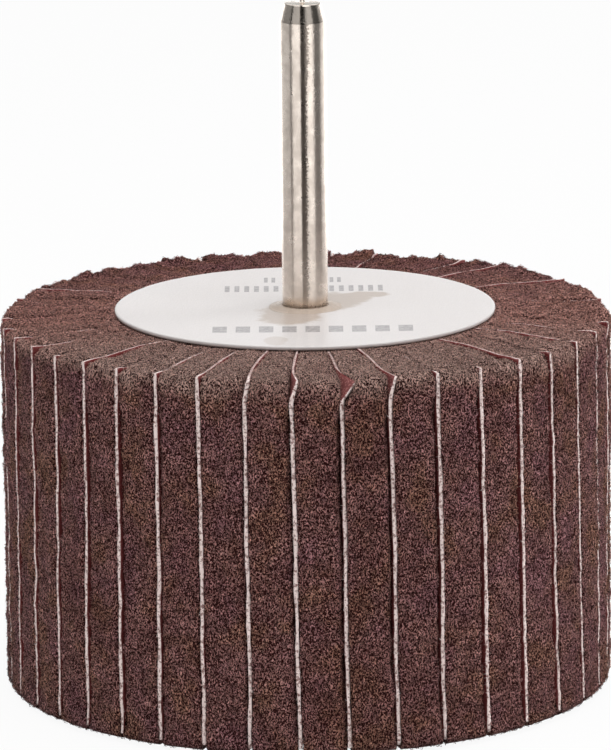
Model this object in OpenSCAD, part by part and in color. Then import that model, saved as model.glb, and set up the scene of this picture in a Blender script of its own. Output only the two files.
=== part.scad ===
// Flap wheel on a steel shank: abrasive cloth flaps interleaved with fleece pads,
// cast round the shank in resin and closed by a fibre disc at each end.
// Millimetres. The wheel stands on its lower disc, with the shank along +Z.

/* [Flap pack] */
// Diameter over the flaps
wheel_d = 80; // [70:1:100]
// Width of the flaps and pads along the axis
pack_w = 49; // [30:1:60]
// Number of cloth flaps, each followed by one fleece pad
flap_count = 40; // [32:4:44]
// Thickness of the abrasive cloth
cloth_t = 0.6; // [0.4:0.05:0.8]
// Rounding of the soft pads at the two rims of the wheel
pad_corner_r = 1.5; // [0.5:0.1:3]
// Turn of the whole pack from the front, in degrees
pack_turn = 1; // [-4:0.5:4]
// How far the flaps crowd to one side of the wheel, in degrees
pack_drift = 3.2; // [0:0.2:4]

/* [Folded corners] */
// Numbers of the flaps whose upper corner is folded over
fold_flaps = [1, 2, 3, 40]; // [1:1:44]
// How far each of those corners is folded, in degrees
fold_angles = [20, 43, 18, 13]; // [5:1:45]
// Length of a fold along the top edge of the flap
fold_along = 5; // [2:0.5:7]
// Depth of a fold down the rim edge of the flap
fold_down = 3.2; // [1.5:0.1:5]

/* [Resin core] */
// Diameter of the resin core behind the flap roots
core_d = 24; // [20:1:30]
// Depth that the cloth roots are set into the core
root_grip = 1.5; // [0.5:0.1:2.5]
// Diameter of the glue film on the upper disc
film_d = 9; // [8:0.5:14]
// Height of the glue film where it meets the shank
film_h = 0.3; // [0.2:0.05:0.8]

/* [End discs] */
// Diameter of the fibre discs
disc_d = 50; // [38:1:60]
// Thickness of the fibre discs
disc_t = 0.5; // [0.3:0.1:1.2]
// Play all round the shank in the holes of the discs
hole_play = 0.4; // [0.3:0.05:0.8]

/* [Shank] */
// Diameter of the shank where a collet grips it
shank_d = 6; // [5:0.5:8]
// Length of the shank that stands out of the upper disc
shank_free = 40.3; // [25:0.1:60]
// Length of the lead-in taper at the tip
tip_len = 2.4; // [1:0.1:4]
// Narrowing of the taper on each side
tip_draw = 0.65; // [0.3:0.05:1.2]
// Diameter of the parting pip on the tip
pip_d = 1.3; // [0.8:0.1:2]
// Height of the parting pip
pip_h = 0.6; // [0.3:0.1:1]
// How far the embedded end is turned down on each side
grip_cut = 0.4; // [0.3:0.05:0.6]
// Number of grooves that lock the shank in the resin
groove_count = 5; // [2:1:6]
// Width of one groove
groove_w = 1.8; // [1.2:0.1:3]
// Depth of one groove
groove_depth = 0.35; // [0.2:0.05:0.6]
// Resin below the foot of the shank
foot_cover = 2.5; // [1.5:0.1:4]
// Chamfer at the foot of the shank
foot_chamfer = 0.4; // [0.2:0.1:0.8]

/* [Fits] */
// Clearance between a pad and the cloth, core and fold beside it
pad_gap = 0.05; // [0.02:0.01:0.1]
// Clearance of cast resin round what it holds
cast_fit = 0.02; // [0.01:0.01:0.05]
// How far the resin lies back from the underside of the lower disc
plug_recess = 0.15; // [0.1:0.05:0.25]

/* [Hidden] */
$fn = 64;
wheel_r = wheel_d / 2;
core_r = core_d / 2;
shank_r = shank_d / 2;
grip_r = shank_r - grip_cut;
hole_r = shank_r + hole_play;
tip_r = shank_r - tip_draw;
pitch = 360 / flap_count;

// Heights of the faces, from the surface that the wheel stands on
pack_z0 = disc_t;
pack_z1 = pack_z0 + pack_w;
disc_top_z = pack_z1 + disc_t;
film_top_z = disc_top_z + film_h;
foot_z = pack_z0 + foot_cover;
tip_z = disc_top_z + shank_free;

// The fold line runs across the upper corner, from the rim edge to the top edge
fold_len = norm([fold_along, fold_down]);
fold_tilt = atan2(fold_down, fold_along);
// The flap's corner, seen from the rim end of the fold line
fold_tip = [fold_down * fold_down / fold_len, fold_along * fold_down / fold_len];
// Cutting blocks reach this far past what they cut
reach = fold_along + fold_down;

// Cloth flaps share a node in groups of this many
flaps_per_node = 4;
cloth_nodes = ceil(flap_count / flaps_per_node);

function numbered(stem, n) = str(stem, n < 10 ? "0" : "", n);
function polar(r, angle, side) = [r * sin(angle) + side * cos(angle), side * sin(angle) - r * cos(angle)];

// Direction of a flap from the front of the wheel, counted round as seen from above
function flap_angle(n) = let (even = pitch * (n - 1)) even + pack_turn - pack_drift * cos(even);
function fold_of(n) = let (hit = search(n, fold_flaps)) len(hit) > 0 ? fold_angles[hit[0]] : 0;

// Outline of the grooved end of the shank, grown sideways by extra, from foot to top
function grip_outline(extra) =
    let (step = (disc_top_z - foot_z) / (groove_count + 1),
         rib = grip_r + extra,
         floor_r = rib - groove_depth)
    [for (i = [1:groove_count])
        let (z = foot_z + i * step)
        each [[rib, z - groove_w / 2], [floor_r, z - groove_w / 2 + groove_depth],
              [floor_r, z + groove_w / 2 - groove_depth], [rib, z + groove_w / 2]]];

// Turned steel shank: chamfered foot, locking grooves, plain gripping length, taper and pip
module shank() {
    color([0.74, 0.70, 0.66])
    rotate_extrude()
    polygon(concat(
        [[0, foot_z], [grip_r - foot_chamfer, foot_z], [grip_r, foot_z + foot_chamfer]],
        grip_outline(0),
        [[grip_r, film_top_z], [shank_r, film_top_z], [shank_r, tip_z - tip_len], [tip_r, tip_z],
         [pip_d / 2, tip_z], [pip_d / 2, tip_z + pip_h / 2], [pip_d / 4, tip_z + pip_h], [0, tip_z + pip_h]]
    ));
}

// What the resin is cast round: the embedded end of the shank
module shank_room() {
    bore_r = grip_r + cast_fit;
    rotate_extrude()
    polygon(concat(
        [[0, foot_z - cast_fit], [bore_r, foot_z - cast_fit]],
        grip_outline(cast_fit),
        [[bore_r, film_top_z + reach], [0, film_top_z + reach]]
    ));
}

// Cast resin core with a slot for each cloth root, run through the holes of both discs
module resin_core() {
    color([0.80, 0.68, 0.50])
    difference() {
        union() {
            translate([0, 0, pack_z0]) cylinder(r = core_r, h = pack_w);
            translate([0, 0, plug_recess]) cylinder(r = hole_r - cast_fit, h = disc_top_z - plug_recess);
            translate([0, 0, disc_top_z]) cylinder(r1 = film_d / 2, r2 = hole_r, h = film_h);
        }
        shank_room();
        for (n = [1:flap_count])
            at_flap(n)
            translate([core_r - root_grip - cast_fit, -cloth_t / 2 - cast_fit, pack_z0 - reach])
            cube([reach, cloth_t + 2 * cast_fit, pack_w + reach]);
    }
}

// Stamped fibre disc with a clearance hole, lying at height z
module fibre_disc(z) {
    color([0.90, 0.88, 0.86])
    translate([0, 0, z])
    difference() {
        cylinder(r = disc_d / 2, h = disc_t);
        translate([0, 0, -disc_t]) cylinder(r = hole_r, h = 3 * disc_t);
    }
}

// Turns +X to the direction of flap n
module at_flap(n) {
    rotate([0, 0, flap_angle(n) - 90]) children();
}

// Puts the origin at the rim end of a flap's fold line, +X along the line,
// +Y towards the corner and +Z out of the cloth on its folded side
module at_fold() {
    translate([wheel_r, 0, pack_z1 - fold_down]) rotate([90, 0, 180]) rotate([0, 0, fold_tilt]) children();
}

// Everything past the mitre plane of a fold by angle
module past_fold(angle) {
    at_fold() rotate([angle / 2, 0, 0]) translate([-reach, 0, -reach]) cube([3 * reach, 2 * reach, 2 * reach]);
}

// One cut rectangle of cloth, standing in the plane of the wheel's axis
module cloth_sheet() {
    root = core_r - root_grip;
    translate([root, -cloth_t / 2, pack_z0]) cube([wheel_r - root, cloth_t, pack_w]);
}

// The upper corner of a sheet, folded over and mitred to the rest
module folded_corner(angle) {
    grow = 1.5;
    rim_end = fold_tip * (1 - grow);
    top_end = fold_tip + ([fold_len, 0] - fold_tip) * grow;
    intersection() {
        at_fold() rotate([angle, 0, 0])
        linear_extrude(height = cloth_t, center = true) polygon([fold_tip, rim_end, top_end]);
        past_fold(angle);
    }
}

// One cloth flap in its place, with its corner folded where the list says so
module cloth_flap(n) {
    angle = fold_of(n);
    at_flap(n)
    if (angle > 0) {
        union() {
            difference() {
                cloth_sheet();
                past_fold(angle);
            }
            folded_corner(angle);
        }
    } else {
        cloth_sheet();
    }
}

// The flaps of one node, a few neighbours of the pack
module cloth_flaps(group) {
    first = (group - 1) * flaps_per_node + 1;
    color([0.72, 0.58, 0.54])
    for (n = [first:min(first + flaps_per_node - 1, flap_count)])
        cloth_flap(n);
}

// The room that a folded corner presses into the pad beside it
module fold_room(angle) {
    half = cloth_t / 2 + pad_gap;
    hinge = [-half * tan(angle / 2), half];
    at_fold() rotate([90, 0, 90]) translate([0, 0, -reach])
    linear_extrude(height = 3 * reach)
    polygon([[hinge[0], -reach], hinge, hinge + reach * [cos(angle), sin(angle)], [2 * reach, -reach]]);
}

// The whole pack as one turned ring, with both rims rounded
module pack_ring() {
    inner = core_r + pad_gap;
    rotate_extrude()
    union() {
        translate([inner, pack_z0]) square([wheel_r - pad_corner_r - inner, pack_w]);
        translate([inner, pack_z0 + pad_corner_r]) square([wheel_r - inner, pack_w - 2 * pad_corner_r]);
        for (z = [pack_z0 + pad_corner_r, pack_z1 - pad_corner_r])
            translate([wheel_r - pad_corner_r, z]) circle(r = pad_corner_r);
    }
}

// One fleece pad, pressed to a wedge between its flap and the next
module fleece_pad(n) {
    side = cloth_t / 2 + pad_gap;
    here = flap_angle(n);
    next = flap_angle(n + 1);
    outer = wheel_r + reach;
    angle = fold_of(n);
    color([0.36, 0.22, 0.20])
    difference() {
        intersection() {
            pack_ring();
            translate([0, 0, pack_z0 - reach])
            linear_extrude(height = pack_w + 2 * reach)
            polygon([polar(0, here, side), polar(outer, here, side), polar(outer, next, -side), polar(0, next, -side)]);
        }
        if (angle > 0)
            at_flap(n) fold_room(angle);
    }
}

shank();
resin_core();
fibre_disc(pack_z1);  // upper_disc
fibre_disc(0);  // lower_disc
for (g = [1:cloth_nodes])
    cloth_flaps(g);
for (n = [1:flap_count])
    fleece_pad(n);
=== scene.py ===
"""Looks of a flap wheel on a steel shank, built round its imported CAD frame.

The wheel is a ring of abrasive cloth flaps with a fleece pad between each flap and the next, cast in
resin round the shank and closed by a fibre disc at each end. Lengths in the mesh code are millimetres.
"""

import math

import bpy
import numpy as np
from bpy.props import FloatProperty, FloatVectorProperty, IntProperty, PointerProperty
from bpy.types import Operator, Panel, PropertyGroup
from mathutils import Matrix, Vector


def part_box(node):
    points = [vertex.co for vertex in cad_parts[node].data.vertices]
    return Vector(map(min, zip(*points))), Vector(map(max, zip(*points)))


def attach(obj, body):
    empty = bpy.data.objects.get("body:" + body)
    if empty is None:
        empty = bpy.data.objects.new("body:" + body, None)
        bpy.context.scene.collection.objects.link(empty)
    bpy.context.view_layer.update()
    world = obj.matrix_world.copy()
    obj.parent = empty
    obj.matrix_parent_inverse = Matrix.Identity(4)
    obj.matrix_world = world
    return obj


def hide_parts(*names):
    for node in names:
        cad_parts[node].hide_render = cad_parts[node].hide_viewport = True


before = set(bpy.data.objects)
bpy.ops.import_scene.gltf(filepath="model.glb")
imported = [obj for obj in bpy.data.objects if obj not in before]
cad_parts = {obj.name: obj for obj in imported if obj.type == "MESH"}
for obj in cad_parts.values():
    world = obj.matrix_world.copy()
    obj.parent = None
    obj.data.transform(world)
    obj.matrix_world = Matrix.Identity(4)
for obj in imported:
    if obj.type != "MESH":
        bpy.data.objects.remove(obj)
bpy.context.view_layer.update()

bl_info = {
    "name": "Flap Wheel",
    "version": (1, 0, 0),
    "blender": (4, 5, 0),
    "location": "View3D > Sidebar > Flap Wheel",
    "description": "Dresses a flap wheel of abrasive cloth and fleece on a steel shank",
    "category": "Object",
}

MM = 0.001
BODY = "root"

# Flaps whose upper rim corner is folded over, with the fold's angle in degrees
FOLDS = {1: 20, 2: 43, 3: 18, 40: 13}
# Reach of a fold along the top edge and down the rim, and the width of its bend
FOLD_ALONG = 5.0
FOLD_DOWN = 3.2
FOLD_BEND = 1.1
# How much of a flap's top edge shows between the pads: 1 all of it, 0 none
EDGE_SHOWN = {1: 0.9, 2: 0.9, 3: 1, 4: 0.6, 5: 0.3, 6: 0.85, 7: 0.3, 8: 0.95, 9: 0.8, 11: 0.5, 12: 0.6,
              14: 1, 16: 1, 17: 0.7, 19: 0.7, 21: 0.4, 24: 0.5, 28: 1, 31: 0.2, 33: 0.5, 34: 0.6, 36: 0.9,
              37: 0.4, 38: 0.65, 39: 0.8, 40: 0.9}
# How far the upper face has settled at the rim, the depth of the groove that follows the disc's rim
# and how far a pad springs up between its flaps at the sides
SETTLED = 0.55
GROOVE = 0.18
BULGE = 0.3

# Rows of plain bars on the upper disc, in metres: how far back the middle is, height, first and last
# place across, pitch, and the inked share of the pitch
PRINT_ROWS = (
    (0.0166, 0.0030, -0.0055, -0.0037, 0.0010, 0.5),
    (0.0166, 0.0030, 0.0033, 0.0052, 0.0010, 0.5),
    (0.0112, 0.0036, -0.0107, -0.0032, 0.0013, 0.5),
    (0.0112, 0.0036, 0.0032, 0.0107, 0.0013, 0.5),
    (-0.0140, 0.0038, -0.0120, 0.0143, 0.0030, 0.62),
)
# Stains of resin on the upper disc: place across and back and reach across and back, in metres, and how
# strong each is
STAINS = (
    (-0.0021, -0.0052, 0.0040, 0.0060, 1.0),
    (0.0036, 0.0026, 0.0036, 0.0056, 1.0),
    (0.0062, 0.0050, 0.0026, 0.0032, 1.0),
    (0.0082, 0.0072, 0.0028, 0.0018, 1.0),
    (-0.0038, -0.0210, 0.0015, 0.0026, 0.5),
)


# Sizes read from the frame

def corners(node):
    """Lowest and highest corner of a CAD node, in millimetres."""
    low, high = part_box(node)
    return np.array(low) / MM, np.array(high) / MM


def node_points(node):
    """Vertices of a CAD node, in millimetres."""
    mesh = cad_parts[node].data
    points = np.empty(len(mesh.vertices) * 3, np.float32)
    mesh.vertices.foreach_get("co", points)
    return points.reshape(-1, 3).astype(float) / MM


def radii(node):
    """Distances of a CAD node's vertices from the wheel's axis, in millimetres."""
    return np.hypot(*node_points(node)[:, :2].T)


def nodes_named(start):
    """Names of the frame's nodes that begin alike, in order round the wheel."""
    return sorted(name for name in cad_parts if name.startswith(start))


def pad_span(node):
    """Directions in radians between which a pad meets the rim, counted from the front."""
    points = node_points(node)
    rim = points[radii(node) > WHEEL_R - 0.05]
    middle = rim.mean(axis=0)
    centre = math.atan2(middle[0], -middle[1])
    turn = np.arctan2(rim[:, 0], -rim[:, 1]) - centre
    turn = (turn + np.pi) % (2 * np.pi) - np.pi
    return centre + turn.min(), centre + turn.max()


def flap_directions():
    """Direction of each flap from the front, in radians, midway between the pads beside it."""
    spans = [pad_span(name) for name in PADS]
    found = []
    for this, before in zip(spans, [spans[-1]] + spans[:-1]):
        gap = (this[0] - before[1] + math.pi) % (2 * math.pi) - math.pi
        found.append(this[0] - gap / 2)
    return found


PADS = nodes_named("fleece_pad_")
CLOTHS = nodes_named("cloth_flaps_")
PACK_LOW, PACK_HIGH = (corner[2] for corner in corners(CLOTHS[0]))
WHEEL_R = float(radii(PADS[0]).max())
DISC_R = corners("upper_disc")[1][0]
SHANK_R = corners("shank")[1][0]
SHANK_LOW, SHANK_HIGH = (corner[2] for corner in corners("shank"))
SHOULDER = SHANK_HIGH - 3.0
FLAPS = flap_directions()
COUNT = len(FLAPS)
ROOT_R = float(radii(PADS[0]).min())
CLOTH_ROOT_R = float(radii(CLOTHS[0]).min())


# Randomness, the same each run

def chance(cells, seed):
    """One fixed number from 0 to 1 for each whole cell of a grid."""
    whole = np.asarray(cells).astype(np.int64).astype(np.uint32)
    mixed = whole[..., 0] * np.uint32(73856093) ^ whole[..., 1] * np.uint32(19349663)
    mixed = mixed ^ whole[..., 2] * np.uint32(83492791) ^ np.uint32(seed * 40503 % 2**32)
    mixed = (mixed ^ (mixed >> np.uint32(15))) * np.uint32(2246822519)
    mixed = (mixed ^ (mixed >> np.uint32(13))) * np.uint32(3266489917)
    return (mixed ^ (mixed >> np.uint32(16))) / 2.0**32


def noise(points, size, seed):
    """Smooth noise from -1 to 1, with features of about a size."""
    place = np.asarray(points) / size + seed * 0.37
    cell = np.floor(place)
    part = place - cell
    part = part * part * (3 - 2 * part)
    total = np.zeros(place.shape[:-1])
    for corner in np.ndindex(2, 2, 2):
        share = np.prod(np.where(np.array(corner) == 1, part, 1 - part), axis=-1)
        total += share * chance(cell + np.array(corner), seed)
    return total * 2 - 1


def smooth_step(value, start, end):
    """0 before start, 1 after end and a soft change between."""
    t = np.clip((value - start) / (end - start), 0, 1)
    return t * t * (3 - 2 * t)


# Shape of the pack

def wrap(n):
    """Number of a flap or pad, from 1 to the count."""
    return (n - 1) % COUNT + 1


def bearing(n):
    """Direction of a flap from the front, from -180 to 180 degrees."""
    return (math.degrees(FLAPS[wrap(n) - 1]) + 180) % 360 - 180


def beside(n):
    """How far a flap points to the left or right, from 0 at the front and back to 1."""
    return abs(math.sin(FLAPS[n - 1]))


def crowding(n):
    """How far a flap belongs to the crowded stretch left of the front, from 0 to 1."""
    return math.exp(-(((bearing(n) + 58) / 32) ** 2))


def lean_of(n):
    """How far a flap leans between its upper and lower end, in degrees."""
    own = chance(np.array([wrap(n), 3, 5]), 71) - 0.5
    return 0.9 + 1.9 * math.exp(-(((bearing(n) - 64) / 22) ** 2)) - 1.8 * crowding(n) + own * 0.5


def sway(n, r, z):
    """How far a flap stands aside of its direction at a radius and height, in millimetres."""
    n = wrap(n)
    out = np.clip((r - CLOTH_ROOT_R) / (WHEEL_R - CLOTH_ROOT_R), 0, 1.1)
    tilt = math.radians(lean_of(n)) * WHEEL_R * (20 - z) / 40
    where = np.stack([np.full_like(z, n * 7.3), z, r * 0.3], axis=-1)
    wave = 0.20 * noise(where, 15.0, 11) + 0.07 * noise(where, 5.0, 12)
    return (tilt + wave + 0.75 * crowding(n)) * out**1.6


def fold_bend(n, r, z):
    """Along and aside shift of the cloth's middle past its fold, and its slope there."""
    angle = math.radians(FOLDS.get(wrap(n), 0))
    inward, down = WHEEL_R - r, PACK_HIGH - z
    steep = math.hypot(1 / FOLD_ALONG, 1 / FOLD_DOWN)
    past = (1 - inward / FOLD_ALONG - down / FOLD_DOWN) / steep + FOLD_BEND / 2
    past = np.maximum(past, 0)
    if angle == 0:
        return past * 0, past * 0, past * 0, (0, 0)
    slope = angle * np.clip(past / FOLD_BEND, 0, 1)
    radius = FOLD_BEND / angle
    beyond = np.maximum(past - FOLD_BEND, 0)
    along = radius * np.sin(slope) + beyond * math.cos(angle) - past
    aside = radius * (1 - np.cos(slope)) + beyond * math.sin(angle)
    corner = (1 / FOLD_ALONG / steep, 1 / FOLD_DOWN / steep)
    return along, aside, slope, corner


def edge_shown(n):
    """How much of a flap's top edge shows between the pads."""
    return EDGE_SHOWN.get(wrap(n), 0)


def top_drop(r, z):
    """How far the pack's upper face has settled towards the rim, in millimetres."""
    near_top = np.clip((z - (PACK_HIGH - 8)) / 8, 0, 1)
    seated = PACK_HIGH - corners("upper_disc")[0][2] + 0.02
    under_disc = seated * (1 - smooth_step(r, DISC_R + 0.1, DISC_R + 0.6))
    return (SETTLED * smooth_step(r, DISC_R - 1, WHEEL_R) + under_disc) * near_top


def placed(direction, r, aside, z):
    """Points at a radius along a direction, shifted aside of it, as an array of x, y, z."""
    return np.stack([
        r * math.sin(direction) + aside * math.cos(direction),
        aside * math.sin(direction) - r * math.cos(direction),
        z,
    ], axis=-1)


def ring_points(r, z, turns):
    """Points at a radius and height, turned round the wheel's axis from the front."""
    x = r * np.sin(turns)
    return np.stack([x, -r * np.cos(turns), np.broadcast_to(z, x.shape)], axis=-1)


def unit(vectors):
    """Vectors brought to a length of 1."""
    return vectors / np.linalg.norm(vectors, axis=-1, keepdims=True)


# Meshes

class Shell:
    """Points, faces and per-point numbers of one mesh, gathered before it is made."""

    def __init__(self):
        self.points, self.faces, self.tones, self.slots, self.count = [], [], [], [], 0

    def add(self, points, faces, tone=0.0, slot=0):
        """Adds points and faces, with the tone of each point and the material of the faces."""
        points = np.asarray(points, float).reshape(-1, 3)
        self.points.append(points)
        self.tones.append(np.broadcast_to(np.asarray(tone, float), len(points)))
        for group in faces:
            group = np.asarray(group, np.int64)
            self.faces.append(group + self.count)
            self.slots.append(np.broadcast_to(np.asarray(slot), len(group)))
        self.count += len(points)

    def make(self, name, materials):
        """Makes the object, in metres, with its materials and a point attribute called tone."""
        points = np.concatenate(self.points) * MM
        loops = np.concatenate([group.reshape(-1) for group in self.faces])
        sizes = np.concatenate([np.full(len(group), group.shape[1]) for group in self.faces])
        mesh = bpy.data.meshes.new(name)
        mesh.vertices.add(len(points))
        mesh.vertices.foreach_set("co", points.reshape(-1))
        mesh.loops.add(len(loops))
        mesh.loops.foreach_set("vertex_index", loops.astype(np.int32))
        mesh.polygons.add(len(sizes))
        starts = np.concatenate([[0], np.cumsum(sizes)[:-1]])
        mesh.polygons.foreach_set("loop_start", starts.astype(np.int32))
        mesh.polygons.foreach_set("material_index", np.concatenate(self.slots).astype(np.int32))
        mesh.polygons.foreach_set("use_smooth", np.full(len(sizes), True))
        mesh.update(calc_edges=True)
        tone = mesh.attributes.new("tone", "FLOAT", "POINT")
        tone.data.foreach_set("value", np.concatenate(self.tones).astype(np.float32))
        if mesh.validate():
            raise RuntimeError(f"{name} has faces that can't be used")
        for material in materials:
            mesh.materials.append(material)
        made = bpy.data.objects.new(name, mesh)
        bpy.context.scene.collection.objects.link(made)
        return made


def grid_faces(rows, columns, close_rows=False, close_columns=False):
    """Quads of a grid of points, joined up at its ends where asked."""
    index = np.arange(rows * columns).reshape(rows, columns)
    if close_rows:
        index = np.concatenate([index, index[:1]])
    if close_columns:
        index = np.concatenate([index, index[:, :1]], axis=1)
    return np.stack([index[1:, :-1], index[1:, 1:], index[:-1, 1:], index[:-1, :-1]],
                    axis=-1).reshape(-1, 4)


def bend_fibres(shell, start, along, out, length, height, bend, radius, tone, slot=0):
    """Adds closed fibres, each a bent spindle that leaves its start point and dips at its ends."""
    across = np.cross(along, out)
    steps = ((0.0, -0.4, 0.0), (0.45, 1.0, 1.0), (1.0, -0.3, 0.2))
    tip, centre, end = (start + along * (length * (t - 0.5))[:, None] + out * (height * lift)[:, None]
                        + across * (bend * side)[:, None] for t, lift, side in steps)
    turns = np.arange(3) * 2 * np.pi / 3
    ring = (np.cos(turns)[None, :, None] * out[:, None]
            + np.sin(turns)[None, :, None] * across[:, None])
    ring = centre[:, None] + ring * radius[:, None, None]
    points = np.concatenate([tip[:, None], ring, end[:, None]], axis=1)
    first = np.arange(len(start))[:, None, None] * 5
    sides = np.array([[0, 2, 1], [0, 3, 2], [0, 1, 3], [4, 1, 2], [4, 2, 3], [4, 3, 1]])
    shell.add(points, [(sides[None] + first).reshape(-1, 3)], np.repeat(tone, 5), slot)


# Fleece pads

def pad_path(step):
    """Radius, height and outward direction along a pad's section, from upper root to lower root."""
    corner, low_corner = 1.4, 0.8
    top_r = np.concatenate([np.linspace(ROOT_R, DISC_R - 0.9, 5),
                            np.arange(DISC_R - 0.2, WHEEL_R - corner - step / 2, step)])
    turns = np.linspace(0, math.pi / 2, 6)
    rim_z = np.arange(PACK_HIGH - corner - step, PACK_LOW + low_corner + step / 2, -step)
    low_r = np.concatenate([np.arange(WHEEL_R - low_corner - 0.8, DISC_R, -0.8),
                            np.linspace(DISC_R - 1, ROOT_R, 4)])
    centre, low_centre = WHEEL_R - corner, WHEEL_R - low_corner
    top = [(r, PACK_HIGH, 0, 1) for r in top_r]
    upper = [(centre + corner * math.sin(t), PACK_HIGH - corner + corner * math.cos(t),
              math.sin(t), math.cos(t)) for t in turns]
    rim = [(WHEEL_R, z, 1, 0) for z in rim_z]
    lower = [(low_centre + low_corner * math.cos(t), PACK_LOW + low_corner - low_corner * math.sin(t),
              math.cos(t), -math.sin(t)) for t in turns[::2]]
    low = [(r, PACK_LOW, 0, -1) for r in (low_centre, *low_r)]
    return np.array(top + upper + rim + lower + low)


def pad_edge(n, r, z, side):
    """Sideways place of a pad's edge beside flap n: side is 1 past the flap and -1 before it."""
    aside = fold_bend(n, r, z)[1]
    gap = np.full_like(r, 0.34)
    cover = (1 - edge_shown(n)) * smooth_step(r, DISC_R - 1, DISC_R)
    cover = cover * (1 - smooth_step(r, WHEEL_R - 3.5, WHEEL_R - 1.0))
    gap -= 0.32 * cover * smooth_step(z, PACK_HIGH - 0.6, PACK_HIGH - 0.1)
    if side < 0:
        aside = aside * 0.15
    return sway(n, r, z) + aside + side * gap


def fleece_shape(n, props):
    """Surface grid of one pad, with the outward directions and the height of its roughness."""
    path = pad_path(props.grid_step / MM)
    r, z, out_r, out_z = path.T
    groove = GROOVE * smooth_step(r, DISC_R - 0.1, DISC_R + 0.3)
    groove = groove * (1 - smooth_step(r, DISC_R + 0.4, DISC_R + 1.2))
    settled = z - top_drop(r, z) - groove * (out_z > 0.9)
    lower = placed(FLAPS[n - 1], r, pad_edge(n, r, z, 1), settled)
    upper = placed(FLAPS[wrap(n + 1) - 1], r, pad_edge(n + 1, r, z, -1), settled)
    across = np.concatenate([np.linspace(0, 0.9, props.columns - 1), [1]])
    surface = lower[:, None] * (1 - across)[None, :, None] + upper[:, None] * across[None, :, None]
    radial = unit(surface[..., :2])
    # The chord between the edges lies inside the rim, so it is pushed back out to the radius
    surface[..., :2] = radial * r[:, None, None]
    out = np.concatenate([radial * out_r[:, None, None],
                          np.broadcast_to(out_z[:, None, None], radial.shape[:2] + (1,))], axis=-1)
    open_part = smooth_step(r, DISC_R + 0.1, DISC_R + 1.2)
    seed = 100 + n
    # The side of a pad that the flap beside it doesn't hide from the front is recessed deeper
    left = smooth_step(-math.sin(FLAPS[n - 1]), 0.2, 0.7)
    gap = (0.05 + 0.75 * left) * (1 - smooth_step(across, 0, 0.12))
    gap = gap + (1 - 0.5 * left) * smooth_step(across, 0.9, 1)
    uneven = 1 + 0.6 * noise(surface, 1.7, seed + 70)
    near_edge = gap[None, :] * uneven * np.maximum(out_r, 0.06)[:, None]
    near_edge = near_edge * (1 - 0.8 * smooth_step(z, PACK_HIGH - 6, PACK_HIGH - 2.5))[:, None]
    rough = (0.30 * noise(surface, 3.4, seed) + 0.30 * noise(surface, 1.5, seed + 50)
             + 0.30 * noise(surface, 0.9, seed + 90))
    own = (chance(np.array([n, 7, 9]), 31) - 0.5) * 0.28 + (0.06 * np.maximum(out_z, 0) - 0.12)[:, None]
    # The lower end is pressed flat, so the roughness and the groove fade out there
    free = 0.15 + 0.85 * smooth_step(z, PACK_LOW + 0.3, PACK_LOW + 2.5)[:, None]
    bulge = BULGE * beside(n) * (np.sin(math.pi * across) - 0.5)[None, :]
    bulge = bulge * smooth_step(out_z, 0.3, 0.95)[:, None]
    rise = (props.raggedness / MM * rough - near_edge + own + bulge) * free
    rise = rise * open_part[:, None]
    tuft = smooth_step(r, WHEEL_R - 5, WHEEL_R - 1) * (out_z > 0.05) * (1 - out_r)
    behind = 0.5 - 0.5 * math.cos(FLAPS[n - 1])
    lumps = noise(surface, 1.7, seed + 7) + 0.7 * noise(surface, 0.9, seed + 8)
    rise = rise + (0.45 + 0.4 * behind) * tuft[:, None] * lumps
    surface = surface + out * rise[..., None]
    surface[..., 2] = np.maximum(surface[..., 2], 0.12)
    return surface, out, rough, path


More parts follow.
